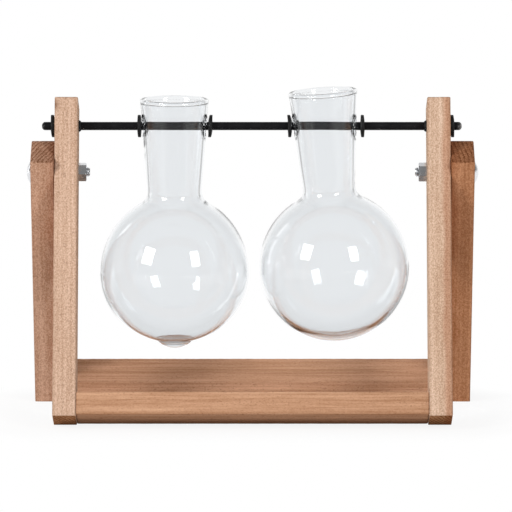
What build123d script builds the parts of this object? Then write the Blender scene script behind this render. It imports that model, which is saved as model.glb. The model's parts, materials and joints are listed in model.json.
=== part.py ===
from build123d import *
import os
from dataclasses import dataclass
from math import acos, asin, cos, degrees, hypot, radians, sin, sqrt, tan

# Two blown glass bulb vases hang by their necks on a rod across a folding wooden stand.
# Lengths are millimetres and angles degrees. +X runs along the rod, +Y to the back and +Z up.
# The origin is on the floor, under the pivot that the two frames of the stand share.

# Timber strip that both frames are cut from
STRIP_THICKNESS = 14.0
STRIP_DEPTH = 28.0
EDGE_RADIUS = 0.8

# Stand: each frame leans this far from upright, crossing the other at the pivot
FRAME_LEAN = 21.2
LEG_ABOVE_PIVOT = 14.0
POST_ABOVE_ROD = 14.6
LEG_TO_POST_GAP = 0.2
LEG_TO_WASHER_GAP = 1.95
SWING_ROOM = 31.2
RAIL_LIFT = 0.9
FOOT_FLAT_DEPTH = 0.6

# Free width between the posts, shared out along the rod
POST_TO_LEFT_BULB = 12.7
BULB_TO_BULB = 6.1
RIGHT_BULB_TO_POST = 10.2

# Countersunk wood screws, two through each end of a rail
SCREW_HEAD_DIAMETER = 7.0
SCREW_DIAMETER = 3.8
SCREW_LENGTH = 36.0
SCREW_TIP = 4.0
SCREW_SINK = 0.3
SCREW_SPACING = 14.0
SCREW_FIT = 0.02
SCREW_SLOT_WIDTH = 0.9
SCREW_SLOT_LENGTH = 3.6
SCREW_SLOT_DEPTH = 1.4

# Carriage bolts and nuts at the pivot
BOLT_DIAMETER = 6.0
BOLT_HEAD_DIAMETER = 14.4
BOLT_HEAD_HEIGHT = 2.7
BOLT_SQUARE_SIDE = 6.4
BOLT_SQUARE_DEPTH = 4.0
BOLT_TAIL = 2.1
BOLT_END_CHAMFER = 0.7
BOLT_FIT = 0.02
BOLT_RUNNING_FIT = 0.08
NUT_ACROSS_FLATS = 10.0
NUT_THICKNESS = 5.0
NUT_CHAMFER = 0.5
LEFT_NUT_TURN = 46.0
RIGHT_NUT_TURN = 56.0

# Hanging rod, its push-on rubber washers, and the rubber stops inside the posts
ROD_DIAMETER = 5.0
LEFT_ROD_BEYOND_WASHER = 5.3
RIGHT_ROD_BEYOND_WASHER = 4.4
ROD_END_RADIUS = 2.0
ROD_RUNNING_FIT = 0.08
ROD_STOP_THICKNESS = 1.4
ROD_STOP_WALL = 1.2
ROD_STOP_TIP_WALL = 0.4
WASHER_DIAMETER = 13.5
WASHER_HUB_THICKNESS = 2.6
WASHER_RIM_THICKNESS = 1.8
WASHER_RIM_RADIUS = 0.4
WASHER_FIT = 0.02
WASHER_TO_POST = 0.1
LEFT_OUTER_WASHER_GAP = 0.15
LEFT_INNER_WASHER_GAP = 0.7
RIGHT_INNER_WASHER_GAP = 0.1
RIGHT_OUTER_WASHER_GAP = 1.6

# Glass that both vases share
LIP_RADIUS = 20.7
LIP_BEAD = 2.7
NECK_WALL = 1.8
BULB_WALL = 1.5
SHOULDER_FILLET = 4.0
HOLE_DIAMETER = 6.8
HOLE_HANG_GAP = 0.05
COLLAR_DIAMETER = 15.4
COLLAR_THICKNESS = 3.0
COLLAR_PROUD = 0.3
COLLAR_BITE = 0.3

# Left vase, plumb, with a button of glass under the bulb
LEFT_LIP_RISE = 16.4
LEFT_NECK_RADIUS = 19.3
LEFT_SHOULDER_RADIUS = 15.9
LEFT_BULB_DROP = 88.8
LEFT_BULB_RADIUS = 44.9
LEFT_BULB_RISE = 47.5
LEFT_BULB_SINK = 42.3
LEFT_BASE_WALL = 1.2
BUTTON_DIAMETER = 22.0
BUTTON_DROP = 3.6

# Right vase, drilled a little out of level, so that it hangs askew
RIGHT_LIP_RISE = 21.5
RIGHT_NECK_RADIUS = 18.9
RIGHT_SHOULDER_RADIUS = 15.0
RIGHT_BULB_DROP = 85.1
RIGHT_BULB_RADIUS = 45.2
RIGHT_BULB_RISE = 45.6
RIGHT_BULB_SINK = 45.2
RIGHT_BASE_WALL = 2.8
RIGHT_VASE_LEAN = 3.85

# How far a cutting tool runs past the face that it cuts
OVERRUN = 1.0

# Places along the rod
LEFT, RIGHT = -1, 1
BULBS_WIDTH = 2 * LEFT_BULB_RADIUS + BULB_TO_BULB + 2 * RIGHT_BULB_RADIUS
INNER_WIDTH = POST_TO_LEFT_BULB + BULBS_WIDTH + RIGHT_BULB_TO_POST
POST_INNER_X = INNER_WIDTH / 2
POST_OUTER_X = POST_INNER_X + STRIP_THICKNESS
LEG_INNER_X = POST_OUTER_X + LEG_TO_POST_GAP
LEG_OUTER_X = LEG_INNER_X + STRIP_THICKNESS
LEFT_AXIS_X = -POST_INNER_X + POST_TO_LEFT_BULB + LEFT_BULB_RADIUS
RIGHT_BULB_X = POST_INNER_X - RIGHT_BULB_TO_POST - RIGHT_BULB_RADIUS
RIGHT_AXIS_X = RIGHT_BULB_X - RIGHT_BULB_DROP * sin(radians(RIGHT_VASE_LEAN))
END_WASHER_X = POST_OUTER_X + WASHER_TO_POST + WASHER_HUB_THICKNESS / 2
WASHER_FACE_X = END_WASHER_X + WASHER_HUB_THICKNESS / 2
LEFT_ROD_END_X = -WASHER_FACE_X - LEFT_ROD_BEYOND_WASHER
RIGHT_ROD_END_X = WASHER_FACE_X + RIGHT_ROD_BEYOND_WASHER

# Places along the posts and legs, from the pivot
VASE_REACH = max(LEFT_BULB_DROP + LEFT_BULB_SINK + BUTTON_DROP, RIGHT_BULB_DROP + RIGHT_BULB_SINK)
RAIL_HEIGHT = STRIP_THICKNESS
ROD_TO_FOOT = VASE_REACH + SWING_ROOM + RAIL_HEIGHT + RAIL_LIFT
PIVOT_TO_ROD = hypot(STRIP_DEPTH / 2, LEG_ABOVE_PIVOT) + WASHER_DIAMETER / 2 + LEG_TO_WASHER_GAP
PIVOT_TO_FOOT = ROD_TO_FOOT - PIVOT_TO_ROD
RAIL_MIDDLE = -PIVOT_TO_FOOT + RAIL_LIFT + RAIL_HEIGHT / 2

# Places in the standing frame
LEAN_SIN = sin(radians(FRAME_LEAN))
LEAN_COS = cos(radians(FRAME_LEAN))
PIVOT_Z = PIVOT_TO_FOOT * LEAN_COS + STRIP_DEPTH / 2 * LEAN_SIN - FOOT_FLAT_DEPTH
ROD_Y = PIVOT_TO_ROD * LEAN_SIN
ROD_Z = PIVOT_Z + PIVOT_TO_ROD * LEAN_COS
HOLE_Z = ROD_Z - (HOLE_DIAMETER / 2 - ROD_DIAMETER / 2 - HOLE_HANG_GAP)

# A frame's own axes: x along the rod, y from front to back, z up the timber, origin at the pivot
FRONT_FRAME = Pos(0, 0, PIVOT_Z) * Rot(-FRAME_LEAN, 0, 0)
REAR_FRAME = Pos(0, 0, PIVOT_Z) * Rot(FRAME_LEAN, 0, 0)
FACING = {LEFT: Rot(0, 0, 0), RIGHT: Rot(0, 0, 180)}


@dataclass
class Vase:
    """Outer sizes of one vase along its own axis, measured from the rod."""

    axis_x: float
    lean: float
    lip_rise: float
    neck_radius: float
    shoulder_radius: float
    bulb_drop: float
    bulb_radius: float
    bulb_rise: float
    bulb_sink: float
    base_wall: float


LEFT_VASE = Vase(
    LEFT_AXIS_X, 0, LEFT_LIP_RISE, LEFT_NECK_RADIUS, LEFT_SHOULDER_RADIUS,
    LEFT_BULB_DROP, LEFT_BULB_RADIUS, LEFT_BULB_RISE, LEFT_BULB_SINK, LEFT_BASE_WALL,
)
RIGHT_VASE = Vase(
    RIGHT_AXIS_X, RIGHT_VASE_LEAN, RIGHT_LIP_RISE, RIGHT_NECK_RADIUS, RIGHT_SHOULDER_RADIUS,
    RIGHT_BULB_DROP, RIGHT_BULB_RADIUS, RIGHT_BULB_RISE, RIGHT_BULB_SINK, RIGHT_BASE_WALL,
)


def cylinder_along_x(radius, start_x, end_x):
    """A round bar between two places on the X axis."""
    bar = Cylinder(radius, end_x - start_x, rotation=(0, 90, 0))
    return Pos((start_x + end_x) / 2, 0, 0) * bar


def turned_about_x(outline):
    """Revolve an outline, drawn as (along the axis, radius), about the X axis."""
    return revolve(outline, axis=Axis.X)


def box_between(low, high):
    """A box from its lowest to its highest corner."""
    size = [top - bottom for bottom, top in zip(low, high)]
    middle = [(top + bottom) / 2 for bottom, top in zip(low, high)]
    return Pos(*middle) * Box(*size)


def strip(low, high, soft_edges):
    """A length of timber with the chosen edges sanded round."""
    timber = box_between(low, high)
    return fillet(soft_edges(timber.edges()), EDGE_RADIUS)


def above_foot(edges):
    """Every edge but those of the sawn foot."""
    lowest = edges.group_by(Axis.Z)[0]
    return edges - lowest


def along_rod(edges):
    """The long edges of a rail."""
    return edges.filter_by(Axis.X)


def on_floor(timber):
    """Level the corner that a leaning strip stands on."""
    reach = LEG_OUTER_X + OVERRUN
    depth = STRIP_DEPTH + PIVOT_TO_FOOT
    floor = box_between((-reach, -depth, -STRIP_DEPTH), (reach, depth, 0))
    return timber - floor


def screw_outline(grow):
    """Half outline of a countersunk screw from its head face, grown all round by a clearance."""
    head = SCREW_HEAD_DIAMETER / 2 + grow
    shank = SCREW_DIAMETER / 2 + grow
    return make_face(Polyline(
        (0, 0), (0, head), (head - shank, shank), (SCREW_LENGTH - SCREW_TIP, shank),
        (SCREW_LENGTH + grow, 0), close=True,
    ))


def screw_places(outer_x):
    """Where the head faces of a rail's four screws lie, in the frame's own axes."""
    for side in (LEFT, RIGHT):
        for depth_side in (LEFT, RIGHT):
            head_x = outer_x - SCREW_SINK
            yield Pos(side * head_x, depth_side * SCREW_SPACING / 2, RAIL_MIDDLE) * FACING[side]


def screw_holes(outer_x):
    """Countersunk holes for a rail's four screws, open to the outer face."""
    mouth = cylinder_along_x(SCREW_HEAD_DIAMETER / 2 + SCREW_FIT, -SCREW_SINK - OVERRUN, 0)
    hole = turned_about_x(screw_outline(SCREW_FIT)) + mouth
    return [place * hole for place in screw_places(outer_x)]


def rail_screws(outer_x):
    """A rail's four screws, each with a cross slot in its head."""
    screw = turned_about_x(screw_outline(0))
    slot = Box(SCREW_SLOT_DEPTH, SCREW_SLOT_WIDTH, SCREW_SLOT_LENGTH)
    cross = slot + Rot(90, 0, 0) * slot
    screw -= Pos(SCREW_SLOT_DEPTH / 2, 0, 0) * cross
    return Compound(children=[place * screw for place in screw_places(outer_x)])


def post(side):
    """A front upright: bored for the pivot bolt and the rod, countersunk for two screws."""
    inner, outer = sorted((side * POST_INNER_X, side * POST_OUTER_X))
    top = PIVOT_TO_ROD + POST_ABOVE_ROD
    timber = strip((inner, -STRIP_DEPTH / 2, -PIVOT_TO_FOOT), (outer, STRIP_DEPTH / 2, top), above_foot)
    timber -= cylinder_along_x(BOLT_DIAMETER / 2 + BOLT_RUNNING_FIT, inner - OVERRUN, outer + OVERRUN)
    rod_bore = ROD_DIAMETER / 2 + ROD_RUNNING_FIT
    timber -= Pos(0, 0, PIVOT_TO_ROD) * cylinder_along_x(rod_bore, inner - OVERRUN, outer + OVERRUN)
    timber -= screw_holes(POST_OUTER_X)
    return on_floor(FRONT_FRAME * timber)


def leg(side):
    """A rear leg: bored for the pivot bolt and its square, countersunk for two screws."""
    inner, outer = sorted((side * LEG_INNER_X, side * LEG_OUTER_X))
    timber = strip(
        (inner, -STRIP_DEPTH / 2, -PIVOT_TO_FOOT), (outer, STRIP_DEPTH / 2, LEG_ABOVE_PIVOT), above_foot
    )
    timber -= cylinder_along_x(BOLT_DIAMETER / 2 + BOLT_FIT, inner - OVERRUN, outer + OVERRUN)
    socket = BOLT_SQUARE_SIDE + 2 * BOLT_FIT
    socket_depth = BOLT_SQUARE_DEPTH + BOLT_FIT
    timber -= Pos(side * (LEG_OUTER_X - socket_depth / 2), 0, 0) * Box(socket_depth, socket, socket)
    timber -= screw_holes(LEG_OUTER_X)
    return on_floor(REAR_FRAME * timber)


def rail(frame, end_x, outer_x):
    """A rail laid flat between two uprights, bored for the screws in its ends."""
    half_height = RAIL_HEIGHT / 2
    low = (-end_x, -STRIP_DEPTH / 2, RAIL_MIDDLE - half_height)
    high = (end_x, STRIP_DEPTH / 2, RAIL_MIDDLE + half_height)
    return frame * (strip(low, high, along_rod) - screw_holes(outer_x))


def pivot_bolt(side):
    """A carriage bolt: domed head on the leg, square neck in it, plain shank and chamfered tail."""
    head = BOLT_HEAD_DIAMETER / 2
    radius = BOLT_DIAMETER / 2
    dome = (head**2 + BOLT_HEAD_HEIGHT**2) / (2 * BOLT_HEAD_HEIGHT)
    half_turn = asin(head / dome) / 2
    crown = (-BOLT_HEAD_HEIGHT, 0)
    brow = (dome - BOLT_HEAD_HEIGHT - dome * cos(half_turn), dome * sin(half_turn))
    end_x = LEG_OUTER_X - POST_INNER_X + NUT_THICKNESS + BOLT_TAIL
    cap = ThreePointArc(crown, brow, (0, head))
    rest = Polyline(
        (0, head), (0, radius), (end_x - BOLT_END_CHAMFER, radius), (end_x, radius - BOLT_END_CHAMFER),
        (end_x, 0), crown,
    )
    square = Pos(BOLT_SQUARE_DEPTH / 2, 0, 0) * Box(BOLT_SQUARE_DEPTH, BOLT_SQUARE_SIDE, BOLT_SQUARE_SIDE)
    bolt = turned_about_x(make_face(Curve() + [cap, rest])) + square
    return REAR_FRAME * Pos(side * LEG_OUTER_X, 0, 0) * FACING[side] * bolt


def pivot_nut(side, turn):
    """A hexagon nut with both rims chamfered, turned about the bolt, hard against the post."""
    flats = NUT_ACROSS_FLATS / 2
    corner = flats / cos(radians(30))
    hexagon = extrude(Plane.YZ * RegularPolygon(flats, 6, major_radius=False), NUT_THICKNESS)
    blank = turned_about_x(make_face(Polyline(
        (0, 0), (0, corner - NUT_CHAMFER), (NUT_CHAMFER, corner), (NUT_THICKNESS - NUT_CHAMFER, corner),
        (NUT_THICKNESS, corner - NUT_CHAMFER), (NUT_THICKNESS, 0), close=True,
    )))
    bore = cylinder_along_x(BOLT_DIAMETER / 2 + BOLT_FIT, -OVERRUN, NUT_THICKNESS + OVERRUN)
    nut = Rot(-side * turn, 0, 0) * ((hexagon & blank) - bore)
    return REAR_FRAME * Pos(side * POST_INNER_X, 0, 0) * FACING[side] * nut


def hanging_rod():
    """The round rod, with softly domed ends."""
    bar = cylinder_along_x(ROD_DIAMETER / 2, LEFT_ROD_END_X, RIGHT_ROD_END_X)
    rounded = fillet(bar.edges().filter_by(GeomType.CIRCLE), ROD_END_RADIUS)
    return Pos(0, ROD_Y, ROD_Z) * rounded


def rubber_washer(middle_x):
    """A push-on washer, thicker at its hub than at its rim."""
    bore = ROD_DIAMETER / 2 + WASHER_FIT
    hub = WASHER_HUB_THICKNESS / 2
    rim = WASHER_RIM_THICKNESS / 2
    edge = WASHER_DIAMETER / 2
    outline = make_face(Polyline((-hub, bore), (-rim, edge), (rim, edge), (hub, bore), close=True))
    outline = fillet(outline.vertices().group_by(Axis.Y)[-1], WASHER_RIM_RADIUS)
    return Pos(middle_x, ROD_Y, ROD_Z) * turned_about_x(outline)


def rod_stop(side):
    """A rubber cone pushed along the rod until it all but touches the inside of a post."""
    bore = ROD_DIAMETER / 2 + WASHER_FIT
    outline = make_face(Polyline(
        (0, bore), (0, bore + ROD_STOP_WALL), (ROD_STOP_THICKNESS, bore + ROD_STOP_TIP_WALL),
        (ROD_STOP_THICKNESS, bore), close=True,
    ))
    face_x = POST_INNER_X - WASHER_TO_POST
    return Pos(side * face_x, ROD_Y, ROD_Z) * FACING[side] * turned_about_x(outline)


def washer_beside(vase, side, gap):
    """The washer on one side of a vase, a gap away from the glass collar and the leaning neck."""
    lean_room = WASHER_DIAMETER / 2 * tan(radians(vase.lean))
    hub_face = vase.neck_radius + COLLAR_PROUD + lean_room + gap
    return rubber_washer(vase.axis_x + side * (hub_face + WASHER_HUB_THICKNESS / 2))


def oval_arc(radius, height, start, end, middle_height):
    """Part of an oval about the vase's axis, as one curve: (radius cos a, middle height + height sin a)."""

    def point(angle):
        return radius * cos(radians(angle)), middle_height + height * sin(radians(angle))

    def direction(angle):
        return -radius * sin(radians(angle)), height * cos(radians(angle))

    angles = (start, (start + end) / 2, end)
    return Spline(*[point(angle) for angle in angles], tangents=[direction(start), direction(end)])


def half_outline(vase, neck_in, bulb_in, base_in, top):
    """Half of a vase's outline as (radius, height): bulb, filleted shoulder and flared neck.

    The three insets draw the outside when zero, and the hollow when they are wall thicknesses.
    """
    radius = vase.bulb_radius - bulb_in
    shoulder = degrees(acos((vase.shoulder_radius - neck_in) / radius))
    lip_height = vase.lip_rise - LIP_BEAD / 2
    lip_radius = LIP_RADIUS - LIP_BEAD / 2 + NECK_WALL / 2 - neck_in
    lower = oval_arc(radius, vase.bulb_sink - base_in, -90, 0, -vase.bulb_drop)
    upper = oval_arc(radius, vase.bulb_rise - bulb_in, 0, shoulder, -vase.bulb_drop)
    neck = ThreePointArc(upper @ 1, (vase.neck_radius - neck_in, 0), (lip_radius, lip_height))
    back = Polyline(neck @ 1, (lip_radius, top), (0, top), lower @ 0)
    face = make_face(Curve() + [lower, upper, neck, back])
    corner = face.vertices().sort_by_distance(upper @ 1)[0]
    return fillet(corner, SHOULDER_FILLET + bulb_in)


def glass_vase(vase, button):
    """A blown vase: bulb, neck, beaded lip, and two collared holes level with the rod."""
    lip_height = vase.lip_rise - LIP_BEAD / 2
    outside = half_outline(vase, 0, 0, 0, lip_height + OVERRUN)
    hollow = half_outline(vase, NECK_WALL, BULB_WALL, vase.base_wall, lip_height + 2 * OVERRUN)
    if button:
        base = -vase.bulb_drop - vase.bulb_sink
        reach = BUTTON_DIAMETER / 2
        depth = BUTTON_DROP + vase.bulb_sink * (1 - sqrt(1 - (reach / vase.bulb_radius) ** 2))
        cap_radius = (reach**2 + depth**2) / (2 * depth)
        middle = base - BUTTON_DROP + cap_radius
        right_half = Pos(cap_radius, middle) * Rectangle(2 * cap_radius, 2 * cap_radius + OVERRUN)
        outside += Pos(0, middle) * Circle(cap_radius) & right_half
    above_lip = Pos(LIP_RADIUS, lip_height + LIP_BEAD) * Rectangle(2 * LIP_RADIUS + OVERRUN, 2 * LIP_BEAD)
    bead = Pos(LIP_RADIUS - LIP_BEAD / 2, lip_height) * Circle(LIP_BEAD / 2)
    section = (outside - hollow - above_lip) + bead
    shell = revolve(Plane.XZ * section, axis=Axis.Z)
    glass = Pos(vase.axis_x, ROD_Y, ROD_Z) * Rot(0, -vase.lean, 0) * shell
    hole_radius = HOLE_DIAMETER / 2
    collar_reach = (COLLAR_DIAMETER / 2 - hole_radius + COLLAR_BITE) / 2
    collar_middle = COLLAR_DIAMETER / 2 - collar_reach
    half_collar = COLLAR_THICKNESS / 2
    collar = turned_about_x(Pos(0, collar_middle) * Ellipse(half_collar, collar_reach))
    for side in (LEFT, RIGHT):
        collar_x = vase.axis_x + side * (vase.neck_radius + COLLAR_PROUD - half_collar)
        glass += Pos(collar_x, ROD_Y, HOLE_Z) * collar
    span = LIP_RADIUS + COLLAR_THICKNESS + OVERRUN
    glass -= Pos(vase.axis_x, ROD_Y, HOLE_Z) * cylinder_along_x(hole_radius, -span, span)
    return glass


def all_pieces():
    """Every piece of the object by name."""
    return {
        "left_post": post(LEFT),
        "right_post": post(RIGHT),
        "front_rail": rail(FRONT_FRAME, POST_INNER_X, POST_OUTER_X),
        "front_rail_screws": FRONT_FRAME * rail_screws(POST_OUTER_X),
        "left_leg": leg(LEFT),
        "right_leg": leg(RIGHT),
        "rear_rail": rail(REAR_FRAME, LEG_INNER_X, LEG_OUTER_X),
        "rear_rail_screws": REAR_FRAME * rail_screws(LEG_OUTER_X),
        "left_pivot_bolt": pivot_bolt(LEFT),
        "right_pivot_bolt": pivot_bolt(RIGHT),
        "left_pivot_nut": pivot_nut(LEFT, LEFT_NUT_TURN),
        "right_pivot_nut": pivot_nut(RIGHT, RIGHT_NUT_TURN),
        "hanging_rod": hanging_rod(),
        "left_end_washer": rubber_washer(-END_WASHER_X),
        "right_end_washer": rubber_washer(END_WASHER_X),
        "left_rod_stop": rod_stop(LEFT),
        "right_rod_stop": rod_stop(RIGHT),
        "left_vase_outer_washer": washer_beside(LEFT_VASE, LEFT, LEFT_OUTER_WASHER_GAP),
        "left_vase_inner_washer": washer_beside(LEFT_VASE, RIGHT, LEFT_INNER_WASHER_GAP),
        "right_vase_inner_washer": washer_beside(RIGHT_VASE, LEFT, RIGHT_INNER_WASHER_GAP),
        "right_vase_outer_washer": washer_beside(RIGHT_VASE, RIGHT, RIGHT_OUTER_WASHER_GAP),
        "left_vase": glass_vase(LEFT_VASE, button=True),
        "right_vase": glass_vase(RIGHT_VASE, button=False),
    }


def main():
    os.makedirs("parts", exist_ok=True)
    for name, piece in all_pieces().items():
        export_step(piece, f"parts/{name}.step")


if __name__ == "__main__":
    main()
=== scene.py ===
"""Dresses a folding wooden stand and the two blown glass vases that hang on its rod."""

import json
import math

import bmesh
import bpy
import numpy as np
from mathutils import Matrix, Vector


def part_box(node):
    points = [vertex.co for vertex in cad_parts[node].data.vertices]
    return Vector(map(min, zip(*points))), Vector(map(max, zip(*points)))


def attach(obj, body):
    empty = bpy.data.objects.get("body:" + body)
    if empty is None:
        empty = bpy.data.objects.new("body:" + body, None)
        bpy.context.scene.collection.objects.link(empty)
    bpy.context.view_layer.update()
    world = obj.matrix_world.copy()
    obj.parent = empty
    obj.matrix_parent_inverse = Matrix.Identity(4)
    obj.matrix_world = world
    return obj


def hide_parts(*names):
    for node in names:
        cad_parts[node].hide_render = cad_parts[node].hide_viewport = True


bl_info = {
    "name": "Hanging Bulb Vases",
    "version": (1, 0, 0),
    "blender": (4, 5, 0),
    "location": "View3D > Sidebar > Bulb Vases",
    "description": "Timber, glass, metal and rubber pieces of a folding stand with two hanging vases",
    "category": "Add Mesh",
}

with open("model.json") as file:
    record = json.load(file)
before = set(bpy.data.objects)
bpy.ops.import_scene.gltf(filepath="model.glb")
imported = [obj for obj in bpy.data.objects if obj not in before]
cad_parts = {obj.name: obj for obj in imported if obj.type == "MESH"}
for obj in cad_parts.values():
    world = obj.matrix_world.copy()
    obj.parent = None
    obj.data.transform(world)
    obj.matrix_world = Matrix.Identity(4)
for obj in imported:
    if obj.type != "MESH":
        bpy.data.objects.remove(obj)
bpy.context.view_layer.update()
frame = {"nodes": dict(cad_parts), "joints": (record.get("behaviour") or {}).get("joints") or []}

MM = 0.001
LEFT, RIGHT = -1, 1
WELD = 1e-7

# Places that the packed model gives
JOINT_PLACE = {joint["name"]: joint.get("pos_m") for joint in frame["joints"]}
PIVOT = np.array(JOINT_PLACE["rear_frame_fold"], float)
ROD = np.array(JOINT_PLACE["rod_turn"], float)
FRAME_LEAN = math.atan2(ROD[1] - PIVOT[1], ROD[2] - PIVOT[2])
PIVOT_TO_ROD = math.hypot(ROD[1] - PIVOT[1], ROD[2] - PIVOT[2])
POST_INNER_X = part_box("right_post")[0].x
POST_OUTER_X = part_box("right_post")[1].x
LEG_INNER_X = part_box("right_leg")[0].x
LEG_OUTER_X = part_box("right_leg")[1].x
STRIP_THICKNESS = POST_OUTER_X - POST_INNER_X

# Timber
STRIP_DEPTH = 28 * MM
POST_TOP = PIVOT_TO_ROD + 14.6 * MM
LEG_TOP = 14 * MM
PIVOT_TO_FOOT = 152.301 * MM
RAIL_MIDDLE = -144.401 * MM
STEP_ALONG, STEP_ACROSS = 1.3 * MM, 1.1 * MM
EDGE_WAVES = (61 * MM, 23 * MM, 9.7 * MM, 4.1 * MM)
EDGE_REACH = 1.3 * MM
# How far up a rail's underside its painted shade reaches
UNDERSIDE_SHADE_REACH = 0.8 * MM
RUNNING_FIT = 0.08 * MM
DRILL_PAST = 2 * MM
SCREW_HEAD_RADIUS = 3.52 * MM
SCREW_SHANK_RADIUS = 1.92 * MM
SCREW_LENGTH = 36.02 * MM
SCREW_TIP = 4 * MM
SCREW_SINK = 0.3 * MM
SCREW_SPACING = 14 * MM

# Bolts, nuts, rod and rubber
BOLT_RADIUS = 3 * MM
BOLT_HEAD_RADIUS = 7.2 * MM
BOLT_HEAD_HEIGHT = 2.7 * MM
BOLT_SQUARE_SIDE = 6.4 * MM
BOLT_SQUARE_DEPTH = 4 * MM
BOLT_TAIL = 2.1 * MM
BOLT_END_CHAMFER = 0.7 * MM
THREAD_LENGTH = 11 * MM
THREAD_PITCH = 1 * MM
THREAD_DEPTH = 0.45 * MM
NUT_ACROSS_FLATS = 10 * MM
NUT_THICKNESS = 5 * MM
NUT_CHAMFER = 0.5 * MM
NUT_END = 0.9 * MM
NUT_LEAD = 0.4 * MM
NUT_SEGMENTS = 288
HEXAGON_SHARPNESS = 90
ROD_RADIUS = 2.5 * MM
ROD_END_ROUND = 2.0 * MM
RUBBER_BORE = ROD_RADIUS + 0.02 * MM
STOP_WALL = 1.2 * MM
STOP_TIP_WALL = 0.4 * MM
WASHER_RADIUS = 6.75 * MM
WASHER_HUB = 2.6 * MM
WASHER_RIM = 1.8 * MM
WASHER_RIM_ROUND = 0.4 * MM
# Body, then how far the upper and the lower half lean, in degrees
WASHERS = {
    "left_end_washer": ("rod", -2.5, -2.5),
    "right_end_washer": ("rod", -2.2, -2.2),
    "left_vase_outer_washer": ("left_washers", -0.8, -0.8),
    "left_vase_inner_washer": ("left_washers", 4.2, 4.2),
    "right_vase_inner_washer": ("right_washers", -7.0, 1.0),
    "right_vase_outer_washer": ("right_washers", -0.9, -0.9),
}

# Glass; pairs give the outer wall's value and the inner wall's
OUTER, INNER = 0, 1
LIP_RADIUS = 20.7 * MM
LIP_BEAD = 2.7 * MM
LIP_CREASE = (0.55 * MM, 1.75 * MM)
LIP_CUT = (0.15 * LIP_BEAD / 2, 0.95 * LIP_BEAD / 2)
LIP_FLARE = 0.49 * MM
LIP_FLARE_REACH = 8 * MM
NECK_WALL = 1.8 * MM
NECK_FLOOR = -30 * MM
BULB_WALL = 1.5 * MM
WAVER = (0.05 * MM, 0.09 * MM)
WAVER_FADE = 12 * MM
OUTLINE_SPACING, WALL_SPACING = 0.25 * MM, 0.85 * MM
RING_COLUMNS = 160
HOLE_BLOCK = 12
HOLE_RADIUS = 3.4 * MM
HOLE_DROP = 0.85 * MM
COLLAR_RADIUS = 7.7 * MM
COLLAR_CREST = 5.6 * MM
COLLAR_THICKNESS = 3 * MM
COLLAR_PROUD = 0.3 * MM
BUTTON_RADIUS = 11 * MM
BUTTON_DROP = 3.6 * MM
VASES = {
    "left_vase": {
        "axis_x": -47.0 * MM, "lean": 0.0, "lip_rise": 16.4 * MM, "neck": 19.3 * MM, "shoulder": 15.9 * MM,
        "drop": 88.8 * MM, "radius": 44.9 * MM, "rise": 47.5 * MM, "sink": 42.3 * MM, "base": 1.2 * MM,
        "button": True, "seed": 3,
    },
    "right_vase": {
        "axis_x": 43.486 * MM, "lean": math.radians(3.85), "lip_rise": 21.5 * MM, "neck": 18.9 * MM,
        "shoulder": 15.0 * MM, "drop": 85.1 * MM, "radius": 45.2 * MM, "rise": 45.6 * MM, "sink": 45.2 * MM,
        "base": 2.8 * MM, "button": False, "seed": 8,
    },
}

# Stage; a lamp's turn from the camera and its climb in degrees, then its width and height in metres
FLOOR_REACH = 14.0
LAMPS = {
    "left_window": (-47, 25, 0.37, 0.50),
    "right_window": (34, 24, 0.29, 0.48),
    "back_strip": (-124, 14, 0.16, 1.00),
}
LAMP_DISTANCE = 1.3
LAMP_AIM = (0, 0, 0.09)
CAMERA_PLACE = (2.05 * MM, -3412.8 * MM, PIVOT[2] + 426.1 * MM)
CAMERA_DOWN = math.radians(7.956)
SENSOR_WIDTH = 36
GLASS_BOUNCES = 16


# Meshes


def quads(rows, columns, around):
    """Corner numbers of the four-sided faces of a grid; around joins the last column to the first."""
    across = columns if around else columns - 1
    row, column = np.meshgrid(np.arange(rows - 1), np.arange(across), indexing="ij")
    following = (column + 1) % columns
    corners = [row * columns + column, row * columns + following]
    corners += [(row + 1) * columns + following, (row + 1) * columns + column]
    return np.stack(corners, -1).reshape(-1, 4)


def mesh_of(name, grids):
    """One welded mesh from (points, faces) pairs, given as whole arrays."""
    starts = np.cumsum([0] + [points.size // 3 for points, _ in grids])
    points = np.concatenate([points.reshape(-1, 3) for points, _ in grids])
    faces = np.concatenate([faces + start for (_, faces), start in zip(grids, starts)])
    mesh = bpy.data.meshes.new(name)
    mesh.vertices.add(len(points))
    mesh.vertices.foreach_set("co", points.astype(np.float32).ravel())
    mesh.loops.add(faces.size)
    mesh.loops.foreach_set("vertex_index", faces.astype(np.int32).ravel())
    mesh.polygons.add(len(faces))
    mesh.polygons.foreach_set("loop_start", np.arange(0, faces.size, 4, dtype=np.int32))
    mesh.update(calc_edges=True)
    work = bmesh.new()
    work.from_mesh(mesh)
    bmesh.ops.remove_doubles(work, verts=work.verts, dist=WELD)
    loose = [vert for vert in work.verts if not vert.link_faces]
    bmesh.ops.delete(work, geom=loose, context="VERTS")
    work.to_mesh(mesh)
    work.free()
    return mesh


def object_of(mesh):
    """An object for a mesh, at the origin."""
    made = bpy.data.objects.new(mesh.name, mesh)
    bpy.context.scene.collection.objects.link(made)
    return made


def finish_piece(piece, material, body, node, crease=40):
    """Shade a piece, give it its finish, tie it to its body, and hide the solid that it stands for."""
    piece.data.shade_smooth()
    piece.data.set_sharp_from_angle(angle=math.radians(crease))
    piece.data.materials.clear()
    piece.data.materials.append(material)
    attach(piece, body)
    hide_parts(node)


def turned(profile, segments):
    """Carry a profile of (x, radius) rows round the X axis: (x, radius cos a, radius sin a)."""
    profile = np.asarray(profile, float)
    angle = np.linspace(0, 2 * np.pi, segments, endpoint=False)
    x, radius = profile[:, :1], profile[:, 1:]
    points = np.stack(np.broadcast_arrays(x, radius * np.cos(angle), radius * np.sin(angle)), -1)
    return points, quads(len(profile), segments, True)[:, ::-1]


def faced(points, side):
    """Turn points that were laid out for the left side half round about Z for the right side."""
    return points * np.array([-1.0, -1.0, 1.0]) if side == RIGHT else points


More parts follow.
